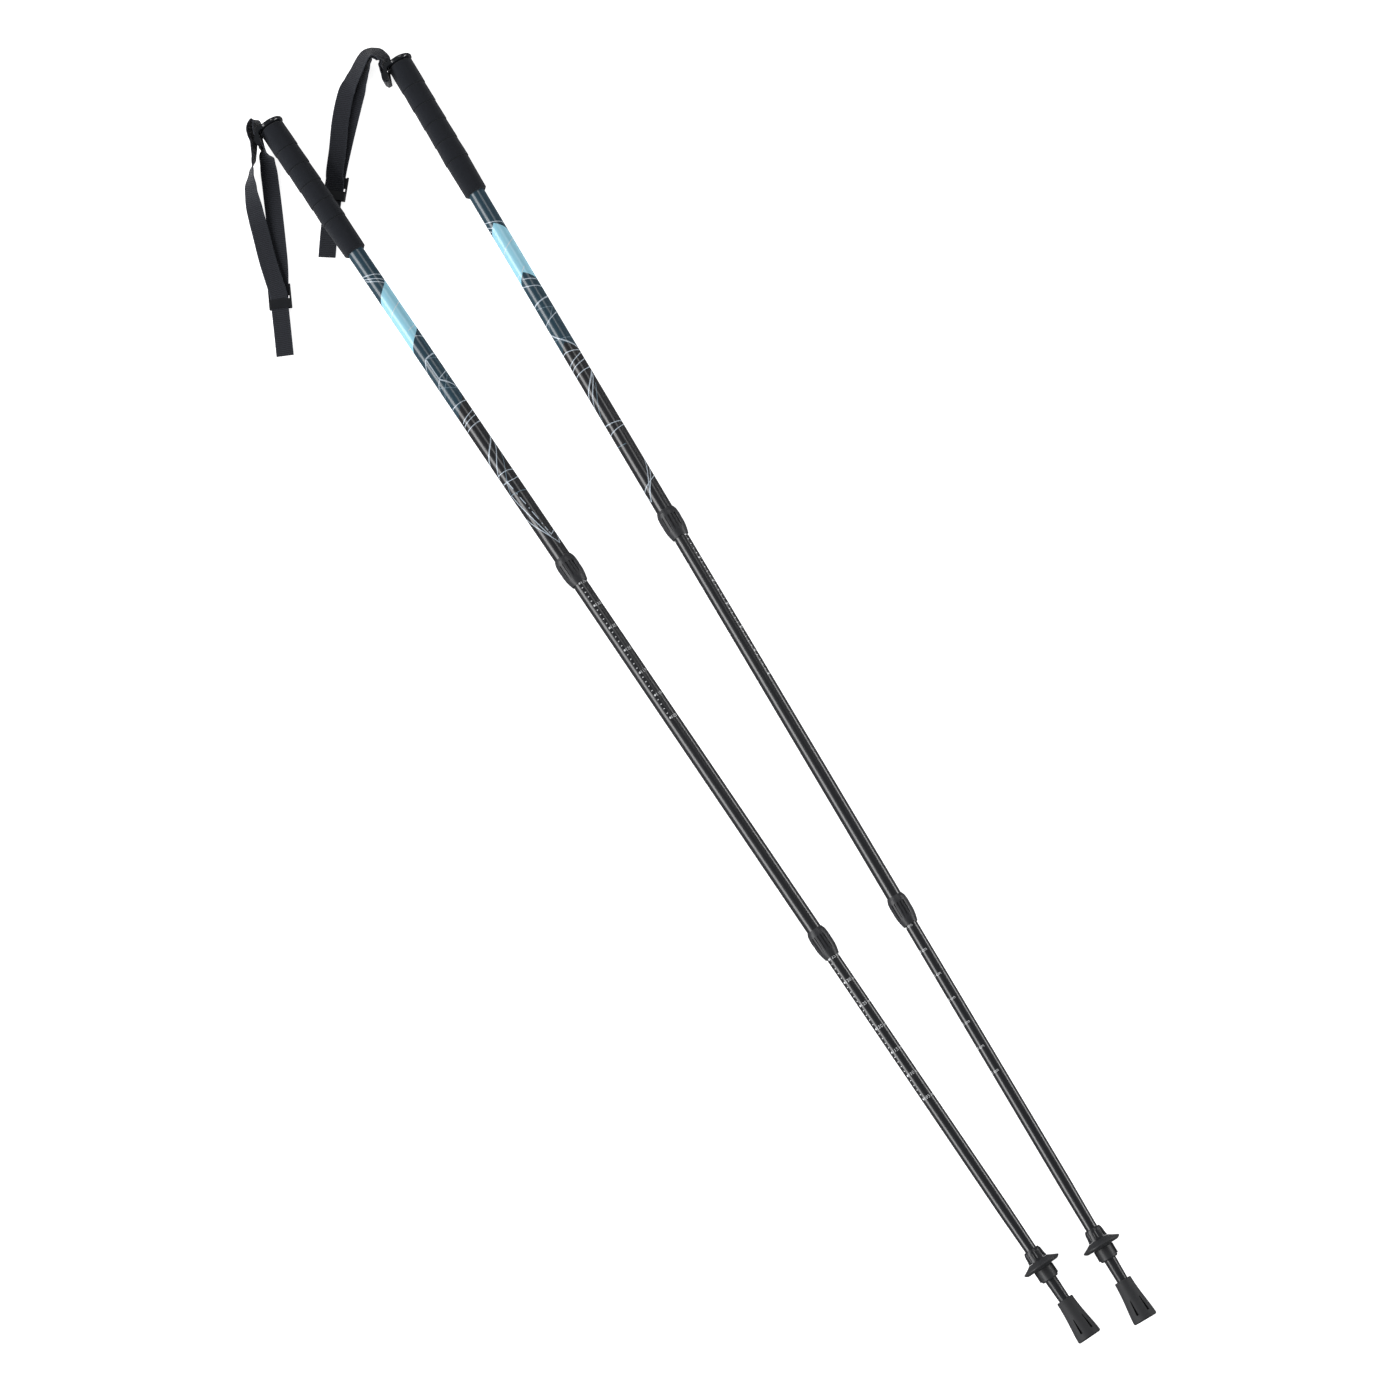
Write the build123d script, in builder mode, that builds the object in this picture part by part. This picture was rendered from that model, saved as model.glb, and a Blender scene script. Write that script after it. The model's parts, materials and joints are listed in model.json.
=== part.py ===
from build123d import *
import os
from math import cos, radians, sin

# A pair of three-section telescopic trekking poles with twist locks, lying side by side on a
# floor with their wrist straps beside the grips.
#
# Row frame: millimetres, +Z up, the floor at z = 0, +Y along the poles towards the handles.
# Pole frame: a station is the distance up a pole's axis from the bottom of its rubber foot.

os.makedirs("parts", exist_ok=True)

# ---- driving dimensions: sections -------------------------------------------------------------
TOTAL_LENGTH = 1350          # foot to cap, both sections drawn out to their 135 mark
WALL = 0.6
UPPER_R, MIDDLE_R, LOWER_R = 8.0, 7.0, 6.0      # 16, 14 and 12 mm tubes
TUBE_IN_SEAT = 0.02          # a glued or pressed tube in its plastic seat
SLIDE_FIT = 0.08             # a tube in the lip of the collar that it slides through
JAW_FIT = 0.05               # a slack jaw in the tube that it slides in

# ---- stations of one pole ---------------------------------------------------------------------
FOOT_TOP = 39.5
HUB_BOTTOM = 60.5
DISC = 75
FERRULE_BOTTOM, FERRULE_TOP = 80.5, 91.5
SWAGE_TOP = 134              # the lower tube narrows below this
LOWER_COLLAR = (404, 433)
UPPER_COLLAR = (816, 845)
COLLAR_LIP = 6               # depth of the lip below the tube that a collar holds
INSERTION = 80               # tube still inside the next section when drawn out
FOAM_BOTTOM, FOAM_TOP = 1196.5, 1343
FIRST_GROOVE, GROOVE_PITCH, GROOVES = 1232.7, 20.75, 5

# ---- radii ------------------------------------------------------------------------------------
CAP_R = 13.5
DISC_R = 18
COLLAR_WALL = 2.2            # a collar's belly outside the tube it holds

# ---- twist lock -------------------------------------------------------------------------------
PLUG_DEPTH = 20
STUD_R = 2.5
STUD_LENGTH = 38
JAW_LENGTH = 20
JAW_SLITS = 3
SLIT_WIDTH = 1.2
WEDGE_FIT = 0.06

# ---- strap lug and webbing --------------------------------------------------------------------
LUG_OUT, LUG_STATION = 18.5, 1335
LUG_BAR_R = 1.4
LUG_ARM_OFF = 11             # each arm's middle plane from the pole's axis
LUG_ARM_THICK = 2
WEB_WIDTH, WEB_THICK = 16.5, 1.4
SLIDER_SIZE = (21.4, 23, 5.5)
SLIDER_WINDOW = (18.4, 4.1)
SLIDER_BAND = 8.5            # length of the slider's closed end, towards the tail
SLIDER_GAP = 4               # opening through its floor, next to the band
SLIDER_RAIL = 3.2            # height of its rails beyond the band

# ---- layout on the floor ----------------------------------------------------------------------
HALF_ANGLE = 1.79            # each pole leans out this much from +Y, so the handles spread
CENTRE_SHIFT = (48.57, -6.51)  # puts the middle of the whole outline at the row's origin
LEFT_FOOT = (-24.8, -668.6)
RIGHT_FOOT = (24.8, -681.4)
RIGHT_DROP = (DISC_R - CAP_R) / (TOTAL_LENGTH - 4 - DISC)   # its cap touches the floor


def shifted(point):
    """A point of the layout, as a vector in the row frame."""
    return Vector(point[0] + CENTRE_SHIFT[0], point[1] + CENTRE_SHIFT[1], point[2])


class Pole:
    """One pole's axis, the planes across it and the plane that holds its turned profiles."""

    def __init__(self, name, foot, lean, drop):
        self.name = name
        run = Vector(sin(radians(lean)), cos(radians(lean)), -drop).normalized()
        self.run = run
        self.foot = shifted((foot[0], foot[1], DISC_R + DISC * drop))
        self.strap_side = run.cross(Vector(0, 0, 1)).normalized() * -1
        self.side = Plane(origin=self.foot, x_dir=self.strap_side, z_dir=self.strap_side.cross(run))
        self.axis = Axis(self.foot, run)

    def at(self, station):
        """Plane across the pole, looking up it, with its X to the strap side."""
        return Plane(origin=self.foot + self.run * station, x_dir=self.strap_side, z_dir=self.run)

    def facing(self, angle, out, station):
        """Plane that looks outwards at an angle round the axis; its Y runs up the pole."""
        flat = self.at(station)
        outward = flat.x_dir * cos(radians(angle)) + flat.y_dir * sin(radians(angle))
        return Plane(origin=flat.origin + outward * out, x_dir=self.run.cross(outward), z_dir=outward)


def finish(builder, pole, name):
    builder.part.label = f"{pole.name}_{name}"
    export_step(builder.part, f"parts/{builder.part.label}.step")


def outline(pole, *corners):
    """Half section of a turned piece, from (radius, station) corners."""
    with BuildSketch(pole.side) as half:
        with BuildLine():
            Polyline(*corners, close=True)
        make_face()
    return half.sketch


def sleeve(pole, outer, inner, low, high):
    return outline(pole, (inner, low), (outer, low), (outer, high), (inner, high))


# ---- handle -----------------------------------------------------------------------------------
def grip_cap(pole):
    top, rim = TOTAL_LENGTH, CAP_R
    stem_r = UPPER_R - WALL - 0.1
    with BuildPart() as cap:
        with BuildSketch(pole.side) as half:
            with BuildLine():
                ThreePointArc((0, top), (rim * 0.55, top - 0.9), (rim - 0.9, top - 2.8))
                ThreePointArc((rim - 0.9, top - 2.8), (rim, top - 4.6), (rim - 0.9, top - 6.5))
                Polyline((rim - 0.9, top - 6.5), (rim - 2.5, FOAM_TOP), (stem_r, FOAM_TOP),
                         (stem_r, FOAM_TOP - 18), (0, FOAM_TOP - 18), (0, top))
            make_face()
        revolve(half.sketch, axis=pole.axis)
        # two drooping arms carry the bar that the webbing hangs on
        with BuildSketch(pole.side) as arm:
            with BuildLine():
                Polyline((rim - 4, top - 2.6), (rim - 1, top - 2.6), (LUG_OUT + 2, LUG_STATION + 2.6),
                         (LUG_OUT + 1.6, LUG_STATION - 2.4), (LUG_OUT - 2.4, LUG_STATION - 2.4),
                         (rim - 1.2, FOAM_TOP + 0.4), (rim - 4, FOAM_TOP + 0.4), close=True)
            make_face()
        bar_half = LUG_ARM_OFF + LUG_ARM_THICK / 2
        for side in (-1, 1):
            face = arm.sketch.moved(Location(pole.side.z_dir * (side * LUG_ARM_OFF)))
            extrude(face, amount=LUG_ARM_THICK / 2, both=True)
        with BuildSketch(pole.side) as bar:
            with Locations((LUG_OUT, LUG_STATION)):
                Circle(LUG_BAR_R)
        extrude(bar.sketch, amount=bar_half, both=True)
        # cheeks join the arms to the cap's rim
        with BuildSketch(pole.side) as cheek:
            with Locations((rim - 6, top - 4.6)):
                Rectangle(6, 3.6)
        extrude(cheek.sketch, amount=bar_half, both=True)
    finish(cap, pole, "grip_cap")


def foam_grip(pole):
    """Foam sleeve, waisted, with a V groove between each pair of finger pads."""
    depth, flare, round_over = 0.9, 0.25, 1.6
    bore = UPPER_R + TUBE_IN_SEAT
    grooves = [FIRST_GROOVE + GROOVE_PITCH * i for i in range(GROOVES)]
    bottom, top = 10.9, 12.0
    corners = [(bore, FOAM_BOTTOM), (bottom - round_over, FOAM_BOTTOM), (bottom, FOAM_BOTTOM + round_over)]
    for station, radius in zip(grooves, (11.7, 11.6, 11.6, 11.7, 11.9)):
        corners.append((radius - flare, station - 0.8))
        corners.append((radius - depth, station))
        corners.append((radius + flare, station + 0.8))
    corners += [(top, FOAM_TOP - round_over), (top - round_over, FOAM_TOP), (bore, FOAM_TOP)]
    with BuildPart() as foam:
        revolve(outline(pole, *corners), axis=pole.axis)
    finish(foam, pole, "foam_grip")


# ---- tubes ------------------------------------------------------------------------------------
def upper_tube(pole):
    with BuildPart() as tube:
        revolve(sleeve(pole, UPPER_R, UPPER_R - WALL, UPPER_COLLAR[0] + COLLAR_LIP, FOAM_TOP), axis=pole.axis)
    finish(tube, pole, "upper_tube")


def middle_tube(pole):
    low, high = LOWER_COLLAR[0] + COLLAR_LIP, UPPER_COLLAR[0] + INSERTION
    with BuildPart() as tube:
        revolve(sleeve(pole, MIDDLE_R, MIDDLE_R - WALL, low, high), axis=pole.axis)
    finish(tube, pole, "middle_tube")


def lower_tube(pole):
    """The lowest tube narrows by a millimetre where it meets the tip."""
    high, swage = LOWER_COLLAR[0] + INSERTION, LOWER_R - 0.5
    with BuildPart() as tube:
        revolve(outline(pole, (swage - WALL, FERRULE_TOP), (swage, FERRULE_TOP), (LOWER_R, SWAGE_TOP),
                        (LOWER_R, high), (LOWER_R - WALL, high), (LOWER_R - WALL, SWAGE_TOP)), axis=pole.axis)
    finish(tube, pole, "lower_tube")


# ---- lock collars -----------------------------------------------------------------------------
def lock_collar(pole, name, low, high, held_r, slid_r, flutes_from):
    """Barrel grip on a tube's lower end, with three panels of long flutes."""
    belly = held_r + COLLAR_WALL
    seat, lip = held_r + TUBE_IN_SEAT, slid_r + SLIDE_FIT
    panels, flutes, step = 3, 5, 18.5
    flute_width, flute_length, flute_depth = 1.4, 16.5, 0.75
    with BuildPart() as collar:
        with BuildSketch(pole.side) as half:
            with BuildLine():
                Polyline((seat, high), (held_r + 0.5, high), (belly - 0.5, high - 3))
                ThreePointArc((belly - 0.5, high - 3), (belly, high - 7), (belly - 0.1, high - 13))
                ThreePointArc((belly - 0.1, high - 13), (belly - 0.4, low + 8), (belly - 1.4, low + 3))
                Polyline((belly - 1.4, low + 3), (slid_r + 1.1, low), (lip, low), (lip, low + COLLAR_LIP),
                         (seat, low + COLLAR_LIP), (seat, high))
            make_face()
        revolve(half.sketch, axis=pole.axis)
        for panel in range(panels):
            for flute in range(flutes):
                angle = flutes_from + 360 / panels * panel + step * (flute - (flutes - 1) / 2)
                with BuildSketch(pole.facing(angle, belly - flute_depth, (low + high) / 2 - 0.5)) as groove:
                    SlotOverall(flute_length, flute_width, rotation=90)
                extrude(groove.sketch, amount=2, mode=Mode.SUBTRACT)
    finish(collar, pole, name)


# ---- twist lock inside each joint -------------------------------------------------------------
def lock_plug(pole, name, tube_r, top):
    """Plug pressed into the top of a tube, with a shoulder on the tube's end."""
    bore = tube_r - WALL
    with BuildPart() as plug:
        revolve(outline(pole, (0, top - PLUG_DEPTH), (bore - 0.6, top - PLUG_DEPTH),
                        (bore, top - PLUG_DEPTH + 1.5), (bore, top), (tube_r - 0.1, top),
                        (tube_r - 0.1, top + 2), (STUD_R, top + 2), (STUD_R, top - 10), (0, top - 10)),
                axis=pole.axis)
    finish(plug, pole, name)


def lock_stud(pole, name, top):
    with BuildPart() as stud:
        with BuildSketch(pole.at(top - 10)):
            Circle(STUD_R)
        extrude(amount=STUD_LENGTH)
        chamfer(stud.edges().group_by(SortBy.LENGTH)[0], 0.4)
    finish(stud, pole, name)


def lock_washer(pole, name, top):
    """Stop nut on the stud's end, which keeps the wedge on it."""
    low = top + STUD_LENGTH - 13
    with BuildPart() as washer:
        with BuildSketch(pole.at(low)):
            Circle(STUD_R + 1.3)
            Circle(STUD_R, mode=Mode.SUBTRACT)
        extrude(amount=2.2)
    finish(washer, pole, name)


def cone_corners(bore_r, jaw_low):
    """Mouth and throat of the jaw's cone: (radius, station) pairs."""
    return (bore_r * 0.66, jaw_low + JAW_LENGTH), (STUD_R + 0.5, jaw_low + 6)


def lock_jaw(pole, name, bore_r, top):
    """Slit plastic jaw that the wedge spreads against the bore of the outer tube."""
    low = top + 2.4
    mouth, throat = cone_corners(bore_r, low)
    outer, hole = bore_r - JAW_FIT, STUD_R + WEDGE_FIT
    with BuildPart() as jaw:
        revolve(outline(pole, (hole, low), (outer - 0.6, low), (outer, low + 1), (outer, low + JAW_LENGTH),
                        mouth, throat, (hole, throat[1])), axis=pole.axis)
        for turn in range(JAW_SLITS):
            with BuildSketch(pole.facing(360 / JAW_SLITS * turn, 0.5, low + 4 + JAW_LENGTH / 2)) as slit:
                Rectangle(SLIT_WIDTH, JAW_LENGTH)
            extrude(slit.sketch, amount=bore_r + 2, mode=Mode.SUBTRACT)
    finish(jaw, pole, name)


def lock_wedge(pole, name, bore_r, top):
    """Cone nut on the stud, with keys in the jaw's slits that stop it turning."""
    low = top + 2.4
    mouth, throat = cone_corners(bore_r, low)
    gap = 0.12
    hole = STUD_R + WEDGE_FIT
    key_width, key_out = SLIT_WIDTH - 0.3, mouth[0] + 0.8
    with BuildPart() as wedge:
        revolve(outline(pole, (hole, throat[1] + 1), (throat[0] + 0.05, throat[1] + 1),
                        (mouth[0] - gap, mouth[1]), (mouth[0] - gap, mouth[1] + 1), (hole, mouth[1] + 1)),
                axis=pole.axis)
        for turn in range(JAW_SLITS):
            with BuildSketch(pole.facing(360 / JAW_SLITS * turn, STUD_R + 0.7, mouth[1] - 3)) as key:
                Rectangle(key_width, 6)
            extrude(key.sketch, amount=key_out - STUD_R - 0.7)
    finish(wedge, pole, name)


def twist_lock(pole, section, tube_r, outer_r, top):
    bore = outer_r - WALL
    lock_plug(pole, f"{section}_plug", tube_r, top)
    lock_stud(pole, f"{section}_stud", top)
    lock_washer(pole, f"{section}_stop_washer", top)
    lock_jaw(pole, f"{section}_lock_jaw", bore, top)
    lock_wedge(pole, f"{section}_lock_wedge", bore, top)


# ---- tip --------------------------------------------------------------------------------------
HUB_BORE_R = 5.9
SHAFT_TOP_R, SHAFT_LOW_R = 5.6, 5.15
SHAFT_END = 16


def tip_body(pole):
    """Moulded tip: plug in the lower tube, fluted flare, core through the basket and shaft."""
    plug_r = LOWER_R - 0.5 - WALL
    flutes, flute_r = 8, 2.1
    point_seat = 2.2
    with BuildPart() as tip:
        with BuildSketch(pole.side) as half:
            with BuildLine():
                Polyline((0, FERRULE_TOP + 28), (plug_r - 0.6, FERRULE_TOP + 28), (plug_r, FERRULE_TOP + 26),
                         (plug_r, FERRULE_TOP), (LOWER_R + 0.9, FERRULE_TOP))
                ThreePointArc((LOWER_R + 0.9, FERRULE_TOP), (LOWER_R + 2, FERRULE_TOP - 2.2),
                              (LOWER_R + 2.5, FERRULE_TOP - 5.5))
                Polyline((LOWER_R + 2.5, FERRULE_TOP - 5.5), (LOWER_R + 3.2, FERRULE_BOTTOM),
                         (SHAFT_TOP_R, FERRULE_BOTTOM), (SHAFT_TOP_R, HUB_BOTTOM), (SHAFT_LOW_R, FOOT_TOP),
                         (SHAFT_LOW_R - 0.4, SHAFT_END), (point_seat, SHAFT_END), (point_seat, 30),
                         (0, 30), (0, FERRULE_TOP + 28))
            make_face()
        revolve(half.sketch, axis=pole.axis)
        with BuildSketch(pole.at(FERRULE_BOTTOM + 1.6)) as rims:
            with PolarLocations(LOWER_R + 3.9, flutes):
                Circle(flute_r)
        extrude(rims.sketch, amount=8.2, mode=Mode.SUBTRACT)
    finish(tip, pole, "tip_body")


def tip_point(pole):
    """Hard metal point with a concave crown, under the rubber foot."""
    with BuildPart() as point:
        with BuildSketch(pole.at(9.5)):
            Circle(2.2)
        extrude(amount=20.5)
        with BuildSketch(pole.at(9.5)) as crown:
            Circle(1.3)
        extrude(crown.sketch, amount=1.6, taper=30, mode=Mode.SUBTRACT)
    finish(point, pole, "tip_point")


def basket(pole):
    """Small trekking basket: a shallow umbrella on a short hub with two bayonet lugs."""
    bore = HUB_BORE_R
    hub_r, lug_r, root_r = 8.4, 9.3, LOWER_R + 3.4
    top, face = FERRULE_BOTTOM - 0.2, DISC - 2.3
    edge_top, edge_low = (DISC_R - 0.5, DISC + 0.9), (DISC_R - 0.7, DISC - 0.9)
    with BuildPart() as disc:
        with BuildSketch(pole.side) as half:
            with BuildLine():
                Polyline((bore, top), (root_r, top))
                ThreePointArc((root_r, top), (13.3, DISC + 3), edge_top)
                ThreePointArc(edge_top, (DISC_R, DISC), edge_low)
                ThreePointArc(edge_low, (15.8, DISC - 1.9), (13.8, face))
                Polyline((13.8, face), (hub_r + 1, face), (hub_r, face - 1), (hub_r - 0.2, HUB_BOTTOM + 1),
                         (hub_r - 1.2, HUB_BOTTOM), (bore, HUB_BOTTOM), (bore, top))
            make_face()
        revolve(half.sketch, axis=pole.axis)
        for angle in (0, 180):
            with BuildSketch(pole.facing(angle, hub_r - 1.2, face - 5.4)) as lug:
                RectangleRounded(7, 9.6, 1)
            extrude(lug.sketch, amount=lug_r - hub_r + 1.2)
    finish(disc, pole, "basket")


def rubber_foot(pole):
    """Push-on rubber foot: a flared cup with six long tapered recesses."""
    bore_top, bore_low, floor_thick = SHAFT_TOP_R - 0.1, SHAFT_LOW_R + 0.15, 8
    flat_r, rim_r = 9.9, 11.3
    recesses = 6
    with BuildPart() as foot:
        with BuildSketch(pole.side) as half:
            with BuildLine():
                Polyline((0, 0), (flat_r, 0))
                ThreePointArc((flat_r, 0), (rim_r - 0.3, 0.6), (rim_r, 2))
                Spline((rim_r, 2), (10.9, 7), (10.0, 14.5), (8.6, 27), (8.0, FOOT_TOP - 1.5))
                ThreePointArc((8.0, FOOT_TOP - 1.5), (7.8, FOOT_TOP - 0.4), (7.2, FOOT_TOP))
                Polyline((7.2, FOOT_TOP), (bore_top, FOOT_TOP), (bore_low, 30),
                         (bore_low, floor_thick), (0, floor_thick), (0, 0))
            make_face()
        revolve(half.sketch, axis=pole.axis)
        for turn in range(recesses):
            with BuildSketch(pole.facing(360 / recesses * turn + 66, 8.5, 13)) as slot:
                with BuildLine():
                    Polyline((-1.2, -6.5), (1.2, -6.5), (0.4, 7.5), (-0.4, 7.5), close=True)
                make_face()
            extrude(slot.sketch, amount=4, mode=Mode.SUBTRACT)
    finish(foot, pole, "rubber_foot")


# ---- wrist straps -----------------------------------------------------------------------------
# Each station of a strap is its centre and the direction of its width. The webbing starts in the
# slider, runs up to the lug, passes round the bar and comes back through the slider to its tail.
LEFT_STRAP = [
    ((-146.6, 531.9, 1.6), (0.90, -0.43, 0)),
    ((-131.2, 557.6, 1.6), (0.90, -0.43, 0)),
    ((-117.9, 584.9, 1.6), (0.91, -0.41, 0)),
    ((-104.0, 615.0, 1.8), (0.93, -0.36, 0)),
    ((-93.0, 639.0, 3.4), (0.94, -0.30, 0.10)),
    ((-86.5, 652.4, 8.8), (0.82, -0.38, 0.42)),
    ((-82.6, 660.4, 16.4), (0.06, 0, 1)),
    ((-82.2, 666.8, 17.8), (0, 0, 1)),
    ((-82.0, 675.5, 17.8), (-0.16, 0, 0.99)),
    ((-78.6, 681.8, 17.4), (-0.30, 0, 0.95)),
    ((-76.0, 685.2, 17.2), (-0.34, 0, 0.94)),
    ((-76.4, 689.0, 17.2), (-0.38, 0, 0.92)),
    ((-80.4, 687.4, 16.8), (-0.40, 0, 0.92)),
    ((-84.1, 683.2, 16.5), (-0.42, 0, 0.91)),
    ((-86.2, 677.0, 16.2), (-0.42, 0, 0.91)),
    ((-89.7, 668.6, 16.5), (-0.20, 0, 0.98)),
    ((-96.0, 659.2, 13.4), (-0.02, 0, 1)),
    ((-105.2, 649.6, 11.0), (0.34, -0.28, 0.90)),
    ((-113.9, 636.8, 8.8), (0.70, -0.38, 0.60)),
    ((-121.7, 616.8, 6.2), (0.90, -0.30, 0.20)),
    ((-128.4, 594.8, 5.0), (0.93, -0.30, 0)),
    ((-135.6, 571.5, 5.0), (0.92, -0.36, 0)),
    ((-141.0, 550.2, 4.9), (0.91, -0.41, 0)),
    ((-144.2, 537.1, 4.2), (0.90, -0.43, 0)),
    ((-151.0, 522.5, 3.6), (0.90, -0.43, 0)),
    ((-158.7, 506.6, 1.8), (0.90, -0.43, 0)),
    ((-169.4, 484.1, 1.2), (0.91, -0.41, 0)),
]
LEFT_SLIDER = ((-144.4, 534.9), (0.90, -0.43, 0))

RIGHT_STRAP = [
    ((-49.0, 593.2, 1.6), (0.76, -0.65, 0)),
    ((-35.0, 609.5, 1.6), (0.75, -0.66, 0)),
    ((-19.0, 626.5, 1.6), (0.72, -0.69, 0)),
    ((0.6, 646.5, 1.8), (0.71, -0.70, 0)),
    ((17.0, 662.4, 2.8), (0.71, -0.70, 0.05)),
    ((27.6, 671.6, 5.6), (0.62, -0.66, 0.42)),
    ((35.4, 678.0, 8.4), (0.45, -0.74, 0.50)),
    ((43.2, 683.4, 11.2), (0.20, -0.78, 0.60)),
    ((49.6, 684.4, 12.4), (-0.06, -0.72, 0.70)),
    ((53.8, 680.2, 12.4), (-0.40, -0.62, 0.68)),
    ((54.8, 674.2, 11.9), (-0.60, -0.42, 0.68)),
    ((50.8, 668.8, 12.6), (-0.30, -0.18, 0.94)),
    ((48.7, 664.6, 13.2), (-0.05, 0, 1)),
    ((47.2, 660.0, 13.3), (0, 0, 1)),
    ((45.6, 655.6, 13.3), (0, 0, 1)),
    ((45.9, 652.2, 13.3), (0, 0, 1)),
    ((48.0, 650.6, 13.4), (0, 0, 1)),
    ((50.3, 652.3, 13.5), (0, 0, 1)),
    ((50.7, 656.0, 13.5), (0, 0, 1)),
    ((51.0, 660.4, 13.6), (0, 0, 1)),
    ((51.7, 664.0, 13.6), (-0.05, 0, 1)),
    ((53.0, 667.6, 13.6), (-0.30, -0.18, 0.94)),
    ((57.0, 673.4, 13.6), (-0.62, -0.43, 0.66)),
    ((55.7, 681.2, 14.2), (-0.42, -0.62, 0.66)),
    ((50.5, 686.2, 14.6), (-0.06, -0.72, 0.70)),
    ((44.0, 686.8, 14.0), (0.20, -0.77, 0.61)),
    ((37.6, 684.2, 12.6), (0.34, -0.76, 0.56)),
    ((30.4, 680.0, 11.0), (0.46, -0.72, 0.52)),
    ((19.8, 674.2, 8.8), (0.60, -0.68, 0.42)),
    ((10.0, 668.0, 6.4), (0.70, -0.71, 0.10)),
    ((-8.1, 648.9, 5.0), (0.74, -0.67, 0)),
    ((-25.5, 625.6, 5.0), (0.78, -0.62, 0)),
    ((-40.0, 607.1, 4.9), (0.77, -0.63, 0)),
    ((-45.3, 597.5, 4.2), (0.76, -0.65, 0)),
    ((-55.6, 585.3, 3.6), (0.76, -0.65, 0)),
    ((-71.7, 565.2, 1.8), (0.76, -0.65, 0)),
    ((-87.6, 543.4, 1.2), (0.76, -0.65, 0)),
]
RIGHT_SLIDER = ((-46.1, 595.5), (0.76, -0.65, 0))


def wrist_strap(pole, stations):
    centres = [shifted(centre) for centre, width in stations]
    with BuildPart() as strap:
        for i, (centre, width) in enumerate(stations):
            # the run at a station halves the turn between the stretches on each side of it
            before, after = max(i - 1, 0), min(i + 1, len(centres) - 1)
            arriving = centres[max(i, 1)] - centres[before]
            leaving = centres[after] - centres[min(i, len(centres) - 2)]
            run = (arriving.normalized() + leaving.normalized()).normalized()
            across = Vector(*width)
            across = (across - run * across.dot(run)).normalized()
            with BuildSketch(Plane(origin=centres[i], x_dir=across, z_dir=run)):
                Rectangle(WEB_WIDTH, WEB_THICK)
        loft(ruled=True)
    finish(strap, pole, "wrist_strap")


def strap_slider(pole, place):
    """Flat keeper that both plies of the webbing pass through, closed over only by its lower band."""
    (x, y), width = place
    length, depth, height = SLIDER_SIZE
    window, opening = SLIDER_WINDOW           # the plane across the run looks up it, so its Y is down
    across = Vector(*width).normalized()
    run = Vector(0, 0, 1).cross(across)
    middle = shifted((x, y, height / 2 + 0.1))
    band_end = middle + run * (SLIDER_BAND - depth / 2)
    band_end = middle + run * (SLIDER_BAND - depth / 2)
    band_end = middle + run * (SLIDER_BAND - depth / 2)
    band_end = middle + run * (SLIDER_BAND - depth / 2)
    band_end = middle + run * (SLIDER_BAND - depth / 2)
    with BuildPart() as slider:
        with BuildSketch(Plane(origin=middle - run * (depth / 2), x_dir=across, z_dir=run)):
            RectangleRounded(length, height, 1.2)
            Rectangle(window, opening, mode=Mode.SUBTRACT)
        extrude(amount=depth)
        with BuildSketch(Plane(origin=band_end, x_dir=across, z_dir=run)):
            with Locations((0, height / 2 - SLIDER_RAIL - 2)):
                Rectangle(length + 2, 4)
        extrude(amount=depth, mode=Mode.SUBTRACT)
        with BuildSketch(Plane(origin=band_end + run * (SLIDER_GAP / 2), x_dir=across, z_dir=(0, 0, 1))):
            Rectangle(window, SLIDER_GAP)
        extrude(amount=height, both=True, mode=Mode.SUBTRACT)
    finish(slider, pole, "strap_slider")


# ---- the pair ---------------------------------------------------------------------------------
def build_pole(pole, strap, slider):
    grip_cap(pole)
    foam_grip(pole)
    wrist_strap(pole, strap)
    strap_slider(pole, slider)
    upper_tube(pole)
    middle_tube(pole)
    lower_tube(pole)
    lock_collar(pole, "upper_lock_collar", *UPPER_COLLAR, UPPER_R, MIDDLE_R, 90)
    lock_collar(pole, "lower_lock_collar", *LOWER_COLLAR, MIDDLE_R, LOWER_R, 84)
    twist_lock(pole, "middle", MIDDLE_R, UPPER_R, UPPER_COLLAR[0] + INSERTION)
    twist_lock(pole, "lower", LOWER_R, MIDDLE_R, LOWER_COLLAR[0] + INSERTION)
    tip_body(pole)
    tip_point(pole)
    basket(pole)
    rubber_foot(pole)


LEFT = Pole("left", LEFT_FOOT, -HALF_ANGLE, 0)
RIGHT = Pole("right", RIGHT_FOOT, HALF_ANGLE, RIGHT_DROP)

build_pole(LEFT, LEFT_STRAP, LEFT_SLIDER)
build_pole(RIGHT, RIGHT_STRAP, RIGHT_SLIDER)
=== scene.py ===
import json
from math import ceil, cos, degrees, pi, radians, sin

import bmesh
import bpy
from mathutils import Matrix, Vector


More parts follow.
